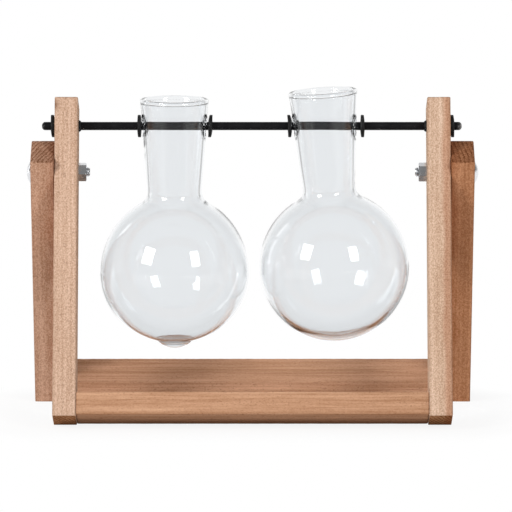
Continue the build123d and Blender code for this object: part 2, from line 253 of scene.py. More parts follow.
def rounded(profile, radius, steps):
    """Replace each inner corner of an open outline by a quadratic curve that starts a radius before it."""
    profile = np.asarray(profile, float)
    before, corner, after = profile[:-2], profile[1:-1], profile[2:]
    to_before, to_after = before - corner, after - corner
    length_before = np.linalg.norm(to_before, axis=1, keepdims=True)
    length_after = np.linalg.norm(to_after, axis=1, keepdims=True)
    reach = np.minimum(radius, 0.45 * np.minimum(length_before, length_after))
    start = corner + to_before / length_before * reach
    end = corner + to_after / length_after * reach
    t = np.linspace(0, 1, steps)[None, :, None]
    curve = (1 - t) ** 2 * start[:, None] + 2 * t * (1 - t) * corner[:, None] + t**2 * end[:, None]
    return np.concatenate([profile[:1], curve.reshape(-1, profile.shape[1]), profile[-1:]])


def resampled(line, spacing):
    """The same polyline with evenly spaced points."""
    step = np.linalg.norm(np.diff(line, axis=0), axis=1)
    along = np.concatenate([[0], np.cumsum(step)])
    places = np.linspace(0, along[-1], int(along[-1] / spacing) + 1)
    return np.stack([np.interp(places, along, line[:, i]) for i in range(2)], -1)


def ripple(place, seed, waves):
    """A smooth, seeded up-and-down between about -1 and 1: a sum of sines of the given wavelengths."""
    rng = np.random.default_rng(seed)
    phase = rng.uniform(0, 2 * np.pi, len(waves))
    weight = rng.uniform(0.6, 1.0, len(waves))
    total = sum(w * np.sin(2 * np.pi * place / wave + p) for w, wave, p in zip(weight, waves, phase))
    return total / weight.sum()


# Timber


POST_HEIGHT, LEG_HEIGHT = (-PIVOT_TO_FOOT, POST_TOP), (-PIVOT_TO_FOOT, LEG_TOP)
RAIL_HEIGHT = (RAIL_MIDDLE - STRIP_THICKNESS / 2, RAIL_MIDDLE + STRIP_THICKNESS / 2)
# Body, long axis, and the reach across and up in the frame's own axes
TIMBER = {
    "left_post": ("front_frame", 2, (-POST_OUTER_X, -POST_INNER_X), POST_HEIGHT),
    "right_post": ("front_frame", 2, (POST_INNER_X, POST_OUTER_X), POST_HEIGHT),
    "front_rail": ("front_frame", 0, (-POST_INNER_X, POST_INNER_X), RAIL_HEIGHT),
    "left_leg": ("rear_frame", 2, (-LEG_OUTER_X, -LEG_INNER_X), LEG_HEIGHT),
    "right_leg": ("rear_frame", 2, (LEG_INNER_X, LEG_OUTER_X), LEG_HEIGHT),
    "rear_rail": ("rear_frame", 0, (-LEG_INNER_X, LEG_INNER_X), RAIL_HEIGHT),
}
# Where each piece lay in its log, as the way across the rings and along the trunk
LOGS = {
    "left_post": (0.021, 0.047, 0.31), "right_post": (0.034, -0.052, 0.83),
    "front_rail": (0.045, 0.018, 1.37), "left_leg": (0.050, 0.032, 1.92),
    "right_leg": (0.050, 0.032, 2.45), "rear_rail": (-0.030, 0.041, 2.98),
}
# A small knot on an edge: its middle in the frame's own axes, then its half width and half length
KNOTS = {"left_post": ((-POST_OUTER_X, -STRIP_DEPTH / 2, PIVOT_TO_ROD + 9.6 * MM), 2.2 * MM, 3.0 * MM)}


def front_or_rear(body):
    """1 for the front frame, which leans back, and -1 for the rear one, which leans forward."""
    return 1 if body == "front_frame" else -1


def leaning(points, body):
    """Stand a frame's own axes (along the rod, front to back, up the timber) up in the room."""
    sin, cos = front_or_rear(body) * math.sin(FRAME_LEAN), math.cos(FRAME_LEAN)
    x, y, z = np.moveaxis(points, -1, 0)
    return np.stack([x, y * cos + z * sin, z * cos - y * sin], -1) + PIVOT


def upright(points, body):
    """Take points in the room back to a frame's own axes."""
    sin, cos = front_or_rear(body) * math.sin(FRAME_LEAN), math.cos(FRAME_LEAN)
    x, y, z = np.moveaxis(points - PIVOT, -1, 0)
    return np.stack([x, y * cos - z * sin, y * sin + z * cos], -1)


def edge_stops(half, radius, spacing):
    """Places along one side of a strip: even over the flat, bunched where the edges turn."""
    turn = radius * np.tan(np.linspace(0, np.pi / 4, 5)[1:])
    flat = np.linspace(-(half - radius), half - radius, max(3, int(2 * half / spacing)))
    return np.concatenate([-(half - radius) - turn[::-1], flat, half - radius + turn])


def worn_strip(low, high, long_axis, radius, seed):
    """Six grids of a box whose edges are rounded by a radius that wanders along the length.

    A point p of the box is drawn back to q, its nearest point on the box shrunk by the radius, and put
    at q plus the radius times the direction from q to p.
    """
    low, high = np.array(low), np.array(high)
    middle, half = (low + high) / 2, (high - low) / 2
    steps = [STEP_ALONG if axis == long_axis else STEP_ACROSS for axis in range(3)]
    stops = [edge_stops(size, radius, step) for size, step in zip(half, steps)]
    grids = []
    for axis in range(3):
        first, second = [i for i in range(3) if i != axis]
        a, b = np.meshgrid(stops[first], stops[second], indexing="ij")
        faces = quads(len(stops[first]), len(stops[second]), False)
        for side in (-1, 1):
            points = np.empty(a.shape + (3,))
            points[..., axis] = side * half[axis]
            points[..., first], points[..., second] = a, b
            corner = np.sign(points) @ np.array([1.0, 2.0, 4.0])
            along = points[..., long_axis] + 0.37 * corner
            worn = radius * (0.8 + 0.2 * ripple(along, seed, EDGE_WAVES))[..., None]
            inside = np.clip(points, -(half - worn), half - worn)
            out = points - inside
            length = np.linalg.norm(out, axis=-1, keepdims=True)
            points = inside + out / np.maximum(length, 1e-9) * np.minimum(worn, length)
            flip = (side > 0) == (axis == 1)
            grids.append((points + middle, faces[:, ::-1] if flip else faces))
    return grids


def drill(profile, place, facing, body):
    """A turned cutter along X, faced towards -X or +X and set at a place in a frame's own axes."""
    points, faces = turned(profile, 48)
    return leaning(faced(points, facing) + np.array(place), body), faces


def cut_from(piece, cutters):
    """Take the cutters' closed shapes out of a piece, for good."""
    tool = object_of(mesh_of("cutter", cutters))
    cut = piece.modifiers.new("cut", "BOOLEAN")
    cut.operation, cut.solver, cut.object = "DIFFERENCE", "EXACT", tool
    depsgraph = bpy.context.evaluated_depsgraph_get()
    mesh = bpy.data.meshes.new_from_object(piece.evaluated_get(depsgraph))
    piece.modifiers.clear()
    mesh.name = piece.data.name + "_cut"
    piece.data = mesh
    bpy.data.objects.remove(tool)


def upright_holes(body, side):
    """The bores of a post or leg: pivot bolt, rod, and two countersunk screws."""
    outer = POST_OUTER_X if body == "front_frame" else LEG_OUTER_X
    middle = side * (outer - STRIP_THICKNESS + outer) / 2
    reach = STRIP_THICKNESS / 2 + DRILL_PAST

    def bore(radius, height, facing):
        radius = radius + RUNNING_FIT
        profile = [(-reach, 0), (-reach, radius), (reach, radius), (reach, 0)]
        return drill(profile, (middle, 0, height), facing, body)

    cutters = [bore(BOLT_RADIUS, 0, LEFT)]
    if body == "front_frame":
        cutters.append(bore(ROD_RADIUS, PIVOT_TO_ROD, side))
    head, shank = SCREW_HEAD_RADIUS, SCREW_SHANK_RADIUS
    screw = [
        (-DRILL_PAST, 0), (-DRILL_PAST, head), (0, head), (head - shank, shank),
        (SCREW_LENGTH - SCREW_TIP, shank), (SCREW_LENGTH, 0),
    ]
    for y in (-SCREW_SPACING / 2, SCREW_SPACING / 2):
        cutters.append(drill(screw, (side * (outer - SCREW_SINK), y, RAIL_MIDDLE), side, body))
    return cutters


def put_attribute(mesh, name, values, domain="POINT"):
    """Store one number for each point or face under a name that the finish reads."""
    attribute = mesh.attributes.new(name, "FLOAT", domain)
    attribute.data.foreach_set("value", values.astype(np.float32))


def read_triples(items, key):
    """Three numbers for each of a mesh's points or faces."""
    values = np.empty(len(items) * 3, np.float32)
    items.foreach_get(key, values)
    return values.reshape(-1, 3).astype(float)


def grain_of(piece, name, body, long_axis, low, high, seed):
    """Store where each point lies in the log, and how near it is to an edge, a stripe of heartwood or a knot.

    The edge's share falls from 1 to 0 over a millimetre and a bit, the knot's by a bell about its middle.
    A rail's underside counts as edge too, as painted shade, the more so the nearer it comes to the floor.
    The legs' stripe is painted shade from the posts, darkest on the inner side next to them, in heartwood
    colour; the right post's stripe is heartwood. The feet's sawn faces count twice, for painted shade.
    """
    mesh = piece.data
    own = upright(read_triples(mesh.vertices, "co"), body)
    order = [2, 1, 0] if long_axis == 0 else [0, 1, 2]
    grain = mesh.attributes.new("grain", "FLOAT_VECTOR", "POINT")
    grain.data.foreach_set("vector", (own[:, order] + np.array(LOGS[name])).astype(np.float32).ravel())
    end = upright(read_triples(mesh.polygons, "normal") + PIVOT, body)[:, long_axis]
    # The feet's sawn faces count twice over, so that the finish paints shade on them
    foot = (end < -0.75) if long_axis == 2 else False
    put_attribute(mesh, "sawn", (np.abs(end) > 0.75) + 1.0 * foot, "FACE")
    middle, half = (np.array(low) + np.array(high)) / 2, (np.array(high) - np.array(low)) / 2
    inset = np.sort(half - np.abs(own - middle), axis=1)[:, 1]
    edge = np.clip(1 - inset / EDGE_REACH, 0, 1)
    # Painted shade on a rail's underside, carried in the edge share, darker towards the back edge near the
    # floor
    if long_axis == 0:
        deep = 0.5 + front_or_rear(body) * (own[:, 1] - middle[1]) / (2 * half[1])
        edge += np.clip(1 - (own[:, 2] - low[2]) / UNDERSIDE_SHADE_REACH, 0, 1) * (0.7 + 1.3 * deep)
    put_attribute(mesh, "edge", edge)
    if name == "right_post":
        share = (np.abs(own[:, 0]) - POST_INNER_X) / STRIP_THICKNESS
        wander = 0.05 * ripple(own[:, 2], seed, (90 * MM, 37 * MM))
        put_attribute(mesh, "heart", np.clip((share + wander - 0.58) / 0.16, 0, 1))
    # The legs' stripe is painted shade from the posts, darkest on the inner side beside them, in heartwood
    # colour
    if name.endswith("leg"):
        share = (np.abs(own[:, 0]) - LEG_INNER_X) / STRIP_THICKNESS
        wander = 0.12 * ripple(own[:, 2], seed, (70 * MM, 29 * MM))
        put_attribute(mesh, "heart", 0.7 * np.clip((0.42 + wander - share) / 0.35, 0, 1))
    if name in KNOTS:
        place, width, length = KNOTS[name]
        away = (own - np.array(place)) / np.array([width, width, length])
        put_attribute(mesh, "knot", np.exp(-(away**2).sum(1)))


# Glass


def smoothed(line, spread, keep=3):
    """Soften a polyline's corners: each point becomes the bell-weighted mean of its neighbours."""
    reach = int(3 * spread) + 1
    weight = np.exp(-0.5 * (np.arange(-reach, reach + 1) / spread) ** 2)
    weight /= weight.sum()
    padded = np.concatenate([2 * line[:1] - line[reach:0:-1], line, 2 * line[-1:] - line[-2:-reach - 2:-1]])
    soft = np.stack([np.convolve(padded[:, i], weight, "valid") for i in range(2)], -1)
    soft[:keep], soft[-keep:] = line[:keep], line[-keep:]
    return soft


def arc_through(start, middle, end, steps):
    """Points on the circle through three points, from the first to the last."""
    start, middle, end = (np.array(p, float) for p in (start, middle, end))
    matrix = 2 * np.array([middle - start, end - start])
    centre = np.linalg.solve(matrix, [middle @ middle - start @ start, end @ end - start @ start])
    first, last = start - centre, end - centre
    angle = np.arctan2(first[1], first[0])
    turn = np.arctan2(last[1], last[0]) - angle
    turn = (turn + np.pi) % (2 * np.pi) - np.pi
    angles = angle + turn * np.linspace(0, 1, steps)
    return centre + np.linalg.norm(first) * np.stack([np.cos(angles), np.sin(angles)], -1)


def half_outline(vase, which):
    """One wall of a vase as (radius, height) rows from the pole up to the lip.

    Two quarter ovals make the bulb, radius cos a by height sin a, and a circle's arc the flared neck,
    which flares once more towards the lip by a square law; the button under the left bulb is a circle's
    cap. Corners are eased well over the shoulder and only a little about the base.
    """
    neck_in, bulb_in, base_in = (NECK_WALL, BULB_WALL, vase["base"]) if which == INNER else (0, 0, 0)
    radius = vase["radius"] - bulb_in
    shoulder = math.acos((vase["shoulder"] - neck_in) / radius)
    low = np.linspace(-np.pi / 2, 0, 200)
    high = np.linspace(0, shoulder, 150)[1:]
    sink, rise = vase["sink"] - base_in, vase["rise"] - bulb_in
    lower = np.stack([radius * np.cos(low), sink * np.sin(low) - vase["drop"]], -1)
    upper = np.stack([radius * np.cos(high), rise * np.sin(high) - vase["drop"]], -1)
    lip_height = vase["lip_rise"] - LIP_BEAD / 2
    lip = (LIP_RADIUS - LIP_CREASE[which], lip_height)
    neck = arc_through(upper[-1], (vase["neck"] - neck_in, 0), lip, 200)[1:]
    if vase["button"] and which == OUTER:
        depth = BUTTON_DROP + vase["sink"] * (1 - math.sqrt(1 - (BUTTON_RADIUS / vase["radius"]) ** 2))
        cap = (BUTTON_RADIUS**2 + depth**2) / (2 * depth)
        turn = np.linspace(0, math.asin(BUTTON_RADIUS / cap), 60)
        lowest = -vase["drop"] - vase["sink"] - BUTTON_DROP
        button = np.stack([cap * np.sin(turn), lowest + cap * (1 - np.cos(turn))], -1)
        lower = np.concatenate([button, lower[lower[:, 0] > BUTTON_RADIUS]])
    lower[0, 0] = 0
    line = resampled(np.concatenate([lower, upper, neck]), OUTLINE_SPACING)
    if which == OUTER:
        line[:, 0] += LIP_FLARE * np.clip(1 + (line[:, 1] - lip_height) / LIP_FLARE_REACH, 0, 1) ** 2
    line = line[line[:, 1] < lip_height - LIP_CUT[which]]
    soft = np.where(line[:, 1:] > -vase["drop"], smoothed(line, 16), smoothed(line, 4))
    return resampled(soft, WALL_SPACING)


def wavering(angle, height, seed, amount):
    """How far blown glass strays from round: slow waves round the axis that drift with height."""
    rng = np.random.default_rng(seed)
    total = 0
    for lobes in (1, 2, 3, 4):
        wave, phase = rng.uniform(40 * MM, 90 * MM), rng.uniform(0, 2 * np.pi)
        total = total + np.sin(lobes * angle + 2 * np.pi * height / wave + phase) / lobes
    return amount * total


def hole_height(vase, side):
    """Height on the vase's own axis at which the level rod meets the neck on one side."""
    return (-HOLE_DROP - side * vase["neck"] * math.sin(vase["lean"])) / math.cos(vase["lean"])


def holed_wall(vase, rows, facing):
    """Faces of one wall round the axis, left open in a block round each of the neck's two holes.

    Gives the faces and, for each hole, the block's border as (angle, height) pairs in order.
    """
    faces = quads(len(rows), RING_COLUMNS, True)
    row, column = np.divmod(np.arange(len(faces)), RING_COLUMNS)
    keep = np.ones(len(faces), bool)
    half, half_turn = HOLE_BLOCK, RING_COLUMNS // 2
    steps, level = np.arange(-half, half), np.full(2 * half, half)
    ways = ((steps, -level), (level, steps), (-steps, level), (-level, -steps))
    round_block = np.concatenate([np.stack(way, -1) for way in ways])
    borders = []
    for side, start in ((RIGHT, 0), (LEFT, half_turn)):
        off_hole = np.abs(rows[:, 1] - hole_height(vase, side))
        middle = int(np.argmin(np.where(rows[:, 1] > NECK_FLOOR, off_hole, 1)))
        aside = (column - start + half_turn) % RING_COLUMNS - half_turn
        keep &= ~((aside >= -half) & (aside < half) & (row >= middle - half) & (row < middle + half))
        border_angle = 2 * np.pi * (start + round_block[:, 0]) / RING_COLUMNS
        borders.append(np.stack([border_angle, rows[middle + round_block[:, 1], 1]], -1))
    return faces[keep][:, ::facing], borders


def hole_rim(vase, side, borders, walls):
    """A fire-polished hole: each wall runs in from its block to a crest, and half an oval joins the two.

    Along a ray from the hole's middle the outer wall swells by a smooth step to the crest, the rim turns
    through half an oval across the glass, and the inner wall runs back out to its own block.
    """
    centre_angle = 0 if side == RIGHT else np.pi
    height, neck = hole_height(vase, side), vase["neck"]

    def run_in(which, swell):
        border, wall = borders[which], walls[which]
        ends = np.stack([(border[:, 0] - centre_angle) * neck, border[:, 1] - height], -1)
        turn = np.arctan2(ends[:, 1], ends[:, 0])
        crest = COLLAR_CREST * np.stack([np.cos(turn), np.sin(turn)], -1)
        place = crest + (ends - crest) * np.linspace(1, 0, 12)[:, None, None]
        far = np.linalg.norm(place, axis=-1)
        step = np.clip((COLLAR_RADIUS - far) / (COLLAR_RADIUS - COLLAR_CREST), 0, 1)
        step = step * step * (3 - 2 * step)
        angle, rise = centre_angle + place[..., 0] / neck, height + place[..., 1]
        return np.stack([angle, rise, wall(angle, rise) + swell * step]), turn

    outside, turn_out = run_in(OUTER, COLLAR_PROUD)
    inside, turn_in = run_in(INNER, -(COLLAR_THICKNESS - COLLAR_PROUD - NECK_WALL))
    roll = np.linspace(np.pi / 2, 3 * np.pi / 2, 17)[1:-1, None]
    far = COLLAR_CREST + (COLLAR_CREST - HOLE_RADIUS) * np.cos(roll)
    turn = turn_out + (turn_in - turn_out) * (roll - np.pi / 2) / np.pi
    radius = inside[2, -1] + (outside[2, -1] - inside[2, -1]) * (1 + np.sin(roll)) / 2
    rim = np.stack([centre_angle + far * np.cos(turn) / neck, height + far * np.sin(turn), radius])
    angle, rise, radius = np.concatenate([outside, rim, inside[:, ::-1]], axis=1)
    points = np.stack([radius * np.cos(angle), radius * np.sin(angle), rise], -1)
    return points, quads(len(points), points.shape[1], True)


def vase_mesh(name, vase):
    """A blown vase as one closed skin: outer wall, beaded lip, inner wall, and two polished holes.

    Each wall is its outline carried round the axis, (radius cos a, radius sin a, height), and wavers.
    """

    def waver(angle, height, which):
        return wavering(angle, height, vase["seed"] + which, WAVER[which])

    def ring(rows, which):
        angle = np.linspace(0, 2 * np.pi, RING_COLUMNS, endpoint=False)
        radius, height = rows[:, :1], rows[:, 1:]
        radius = radius + np.clip(radius / WAVER_FADE, 0, 1) * waver(angle, height, which)
        return np.stack(np.broadcast_arrays(radius * np.cos(angle), radius * np.sin(angle), height), -1)

    def wall(rows, which):
        heights, radii = rows[np.argsort(rows[:, 1])].T[::-1]
        return lambda angle, height: np.interp(height, heights, radii) + waver(angle, height, which)

    turn = np.linspace(-0.12, np.pi + 1.2, 40)
    half = LIP_BEAD / 2
    bead = [LIP_RADIUS - half + half * np.cos(turn), vase["lip_rise"] - half + half * np.sin(turn)]
    outlines = [half_outline(vase, which) for which in (OUTER, INNER)]
    skins = [ring(rows, which) for which, rows in enumerate(outlines)]
    walls = [wall(rows, which) for which, rows in enumerate(outlines)]
    faces, borders = zip(*(holed_wall(vase, rows, facing) for rows, facing in zip(outlines, (1, -1))))
    lip = np.concatenate([skins[OUTER][-1:], ring(np.stack(bead, -1), OUTER), skins[INNER][-1:]])
    grids = [*zip(skins, faces), (lip, quads(len(lip), RING_COLUMNS, True))]
    for side, *rims in zip((RIGHT, LEFT), *borders):
        grids.append(hole_rim(vase, side, rims, walls))
    sin, cos = math.sin(vase["lean"]), math.cos(vase["lean"])
    hung = []
    for points, corners in grids:
        x, y, z = np.moveaxis(points, -1, 0)
        place = [vase["axis_x"] + x * cos - z * sin, y + ROD[1], x * sin + z * cos + ROD[2]]
        hung.append((np.stack(place, -1), corners))
    return mesh_of(name, hung)


# Metal and rubber


def bolt_mesh(name, side):
    """A carriage bolt: a spherical cap, a square neck and a shank whose tail carries a cut thread.

    The tail's radius falls and rises with (distance / pitch - angle / full turn), so its crests climb.
    """
    head, height, segments = BOLT_HEAD_RADIUS, BOLT_HEAD_HEIGHT, 64
    dome = (head**2 + height**2) / (2 * height)
    turn = np.linspace(0, math.asin(head / dome), 24)
    cap = np.stack([dome - height - dome * np.cos(turn), dome * np.sin(turn)], -1)
    cap = np.concatenate([cap[:-1], [(-0.12 * MM, head - 0.03 * MM), (0, head - 0.15 * MM)]])
    end = LEG_OUTER_X - POST_INNER_X + NUT_THICKNESS + BOLT_TAIL
    start = end - THREAD_LENGTH
    shank = np.stack([np.linspace(start, end - BOLT_END_CHAMFER, 130), np.full(130, BOLT_RADIUS)], -1)
    tip = [(end - 0.3 * MM, BOLT_RADIUS - 0.42 * MM), (end, BOLT_RADIUS - BOLT_END_CHAMFER), (end, 0)]
    profile = np.concatenate([cap, [(0, BOLT_RADIUS)], [(start - 1 * MM, BOLT_RADIUS)], shank, tip])
    points, faces = turned(profile, segments)
    angle = np.linspace(0, 1, segments, endpoint=False)
    x = points[..., 0]
    depth = np.abs(((x / THREAD_PITCH - angle) % 1) * 2 - 1) ** 1.2 * THREAD_DEPTH
    cut = depth * np.clip((x - start) / (2 * MM), 0, 1) * np.clip((end - x) / (0.2 * MM), 0, 1)
    radius = np.hypot(points[..., 1], points[..., 2])
    scale = np.where(radius > 1e-9, np.maximum(radius - cut, 0) / np.maximum(radius, 1e-9), 1)
    points[..., 1:] *= scale[..., None]
    half = BOLT_SQUARE_SIDE / 2
    square = worn_strip((0.05 * MM, -half, -half), (BOLT_SQUARE_DEPTH, half, half), 0, 0.4 * MM, 5)
    place = np.array([side * LEG_OUTER_X, 0, 0])
    grids = [(points, faces), *square]
    placed = [(leaning(faced(grid, side) + place, "rear_frame"), corners) for grid, corners in grids]
    return mesh_of(name, placed)


def nut_mesh(name, side, turn):
    """A hexagon nut: the lesser of a softened hexagon's radius and a cone's at each end, round a bore.

    The hexagon's radius is half its width over the soft greatest of the cosines to its six sides.
    """
    angle = np.linspace(0, 2 * np.pi, NUT_SEGMENTS, endpoint=False)
    sides = np.radians(np.arange(6) * 60 + 30) - side * turn
    cosines = np.maximum(np.cos(angle[:, None] - sides), 0)
    hexagon = NUT_ACROSS_FLATS / 2 / (cosines**HEXAGON_SHARPNESS).sum(1) ** (1 / HEXAGON_SHARPNESS)
    corner = NUT_ACROSS_FLATS / 2 / math.cos(math.radians(30))
    end = np.linspace(0, NUT_END, 9)
    middle = np.linspace(NUT_END, NUT_THICKNESS - NUT_END, 9)[1:-1]
    depth = np.concatenate([end, middle, NUT_THICKNESS - end[::-1]])
    cone = corner - NUT_CHAMFER + np.minimum(depth, NUT_THICKNESS - depth)
    radius = np.minimum(hexagon, cone[:, None])
    bore = np.full((1, NUT_SEGMENTS), BOLT_RADIUS - 0.1 * MM)
    lead = np.full((1, NUT_SEGMENTS), BOLT_RADIUS + 0.3 * MM)
    rows = np.concatenate([bore, lead, radius, lead, bore, bore])
    x = np.concatenate([[NUT_LEAD, 0], depth, [NUT_THICKNESS, NUT_THICKNESS - NUT_LEAD, NUT_LEAD]])[:, None]
    points = np.stack(np.broadcast_arrays(x, rows * np.cos(angle), rows * np.sin(angle)), -1)
    faces = quads(len(rows), NUT_SEGMENTS, True)[:, ::-1]
    place = np.array([side * POST_INNER_X, 0, 0])
    return mesh_of(name, [(leaning(faced(points, side) + place, "rear_frame"), faces)])


def rod_mesh(name):
    """The round rod with softly domed ends, straight to a hair."""
    low, high = (corner.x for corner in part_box("hanging_rod"))
    turn = np.linspace(0, np.pi / 2, 12)
    rise = ROD_RADIUS - ROD_END_ROUND + ROD_END_ROUND * np.sin(turn)
    inset = ROD_END_ROUND * (1 - np.cos(turn))
    start, end = np.stack([low + inset, rise], -1), np.stack([high - inset, rise], -1)
    between = np.linspace(low + ROD_END_ROUND, high - ROD_END_ROUND, 120)[1:-1]
    body = np.stack([between, np.full(118, ROD_RADIUS)], -1)
    profile = np.concatenate([[(low, 0)], start, body, end[::-1], [(high, 0)]])
    points, faces = turned(profile, 64)
    return mesh_of(name, [(points + np.array([0, ROD[1], ROD[2]]), faces)])


def washer_mesh(name, node, upper_tilt, lower_tilt):
    """A push-on washer, hub thicker than rim, whose two halves lean over as soft rubber does on a tight rod.

    A point moves along the rod by its height times the tangent of the lean, which passes from the lower
    half's to the upper half's by a smooth step across the bore, and less towards the hub.
    """
    low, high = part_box(node)
    hub, rim, bore, edge = WASHER_HUB / 2, WASHER_RIM / 2, RUBBER_BORE, WASHER_RADIUS
    outline = [
        (-hub + 0.3 * MM, bore), (-hub, bore + 0.35 * MM), (-rim, edge), (rim, edge), (hub, bore + 0.35 * MM),
        (hub - 0.3 * MM, bore),
    ]
    soft = resampled(rounded(outline, WASHER_RIM_ROUND, 7), 0.2 * MM)
    points, faces = turned(np.concatenate([soft, soft[:1]]), 96)
    radius = np.hypot(points[..., 1], points[..., 2])
    share = np.clip((radius - bore) / (edge - bore), 0, 1)
    upper = 0.5 + 0.5 * np.tanh(points[..., 2] / ROD_RADIUS)
    lean = math.tan(lower_tilt) + (math.tan(upper_tilt) - math.tan(lower_tilt)) * upper
    points[..., 0] += share * points[..., 2] * lean
    return mesh_of(name, [(points + np.array([(low.x + high.x) / 2, ROD[1], ROD[2]]), faces)])


def stop_mesh(name, node, side):
    """A rubber cone on the rod, widest against its post; its profile's corners are rounded."""
    low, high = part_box(node)
    bore, length = RUBBER_BORE, high.x - low.x
    outline = [
        (0.1 * MM, bore), (0, bore + 0.1 * MM), (0, bore + STOP_WALL), (length, bore + STOP_TIP_WALL),
        (length, bore + 0.1 * MM), (length - 0.1 * MM, bore),
    ]
    profile = rounded(outline, 0.25 * MM, 6)
    points, faces = turned(np.concatenate([profile, profile[:1]]), 64)
    start = low.x if side == LEFT else high.x
    return mesh_of(name, [(faced(points, side) + np.array([start, ROD[1], ROD[2]]), faces)])


# Finishes


def plug(value, socket):
    """Link a wire to a socket, or type a number, a vector or a colour into it."""
    if isinstance(value, Wire):
        socket.id_data.links.new(value.socket, socket)
    elif socket.type == "RGBA" and len(value) == 3:
        socket.default_value = (*value, 1)
    else:
        socket.default_value = value


def joining(operation):
    """A method that joins a wire and another value by a Math node."""
    return lambda self, other: self.reckon(operation, self, other)


class Wire:
    """A shader value to reckon with: each sum, product or limit becomes a node in its tree."""

    __add__, __sub__ = joining("ADD"), joining("SUBTRACT")
    __mul__, __truediv__ = joining("MULTIPLY"), joining("DIVIDE")
    most, least = joining("MAXIMUM"), joining("MINIMUM")

    def __init__(self, socket):
        self.socket, self.tree = socket, socket.id_data

    def reckon(self, operation, *values):
        node = add(self.tree, "ShaderNodeMath", operation=operation)
        for value, socket in zip(values, node.inputs):
            plug(value, socket)
        return Wire(node.outputs[0])

    def __rsub__(self, other):
        return self.reckon("SUBTRACT", other, self)

    def __abs__(self):
        return self.reckon("ABSOLUTE", self)

    def eased(self, low, high, to_low=0.0, to_high=1.0):
        node = add(self.tree, "ShaderNodeMapRange", interpolation_type="SMOOTHSTEP")
        for value, socket in zip((self, low, high, to_low, to_high), node.inputs):
            plug(value, socket)
        return Wire(node.outputs[0])


def add(tree, kind, **values):
    """A node with its settings and sockets filled in by name."""
    node = tree.nodes.new(kind)
    for key, value in values.items():
        if hasattr(node, key):
            setattr(node, key, value)
        else:
            plug(value, node.inputs[key.replace("_", " ")])
    return node


def mixed(share, first, second, blend="MIX"):
    """A colour Mix node of wires, numbers and colours."""
    tree = next(value.tree for value in (share, first, second) if isinstance(value, Wire))
    node = add(tree, "ShaderNodeMix", data_type="RGBA", blend_type=blend)
    for value, place in ((share, 0), (first, 6), (second, 7)):
        plug(value, node.inputs[place])
    return Wire(node.outputs[2])


def noise(place, scale, detail, roughness, distortion=0.0):
    """Noise at a place that is first scaled along its own axes."""
    stretched = Wire(add(place.tree, "ShaderNodeMapping", Vector=place, Scale=scale).outputs[0])
    node = add(
        place.tree, "ShaderNodeTexNoise", Vector=stretched, Scale=1.0, Detail=detail, Roughness=roughness,
        Distortion=distortion,
    )
    return Wire(node.outputs["Fac"])


def place_on(tree, coordinates="Object"):
    """A place on the piece, in its own coordinates."""
    return Wire(tree.nodes.new("ShaderNodeTexCoord").outputs[coordinates])


def parts_of(place):
    """The three numbers of a place."""
    return [Wire(socket) for socket in add(place.tree, "ShaderNodeSeparateXYZ", Vector=place).outputs]


def light_paths(tree):
    """Camera, diffuse, glossy and passing rays, and whether a ray was turned back on its way."""
    given = tree.nodes.new("ShaderNodeLightPath").outputs
    kinds = [Wire(given[f"Is {kind} Ray"]) for kind in ("Camera", "Diffuse", "Glossy", "Transmission")]
    return *kinds, Wire(given["Glossy Depth"]).least(1.0)


def cleared(owner, output):
    """Empty a material's or world's nodes, and give its tree and the socket of a new output."""
    owner.use_nodes = True
    owner.node_tree.nodes.clear()
    return owner.node_tree, owner.node_tree.nodes.new(output).inputs["Surface"]


def blended(share, first, second, surface):
    """Mix two shaders by a share, and put the result on a surface."""
    mix = add(share.tree, "ShaderNodeMixShader")
    for value, socket in zip((share, Wire(first.outputs[0]), Wire(second.outputs[0])), mix.inputs):
        plug(value, socket)
    plug(Wire(mix.outputs[0]), surface)


def group_of(name, inputs, outputs):
    """A shader node group with named sockets: gives its inputs as wires, and its outputs' sockets."""
    tree = bpy.data.node_groups.new(name, "ShaderNodeTree")
    for way, sockets in (("INPUT", inputs), ("OUTPUT", outputs)):
        for label, kind in sockets.items():
            tree.interface.new_socket(label, in_out=way, socket_type="NodeSocket" + kind)
    given = tree.nodes.new("NodeGroupInput").outputs
    put = tree.nodes.new("NodeGroupOutput").inputs
    return {label: Wire(given[label]) for label in inputs}, put


def shared_group(name, maker):
    """A node group that is built the first time it is asked for."""
    if name not in bpy.data.node_groups:
        maker(name)
    return bpy.data.node_groups[name]


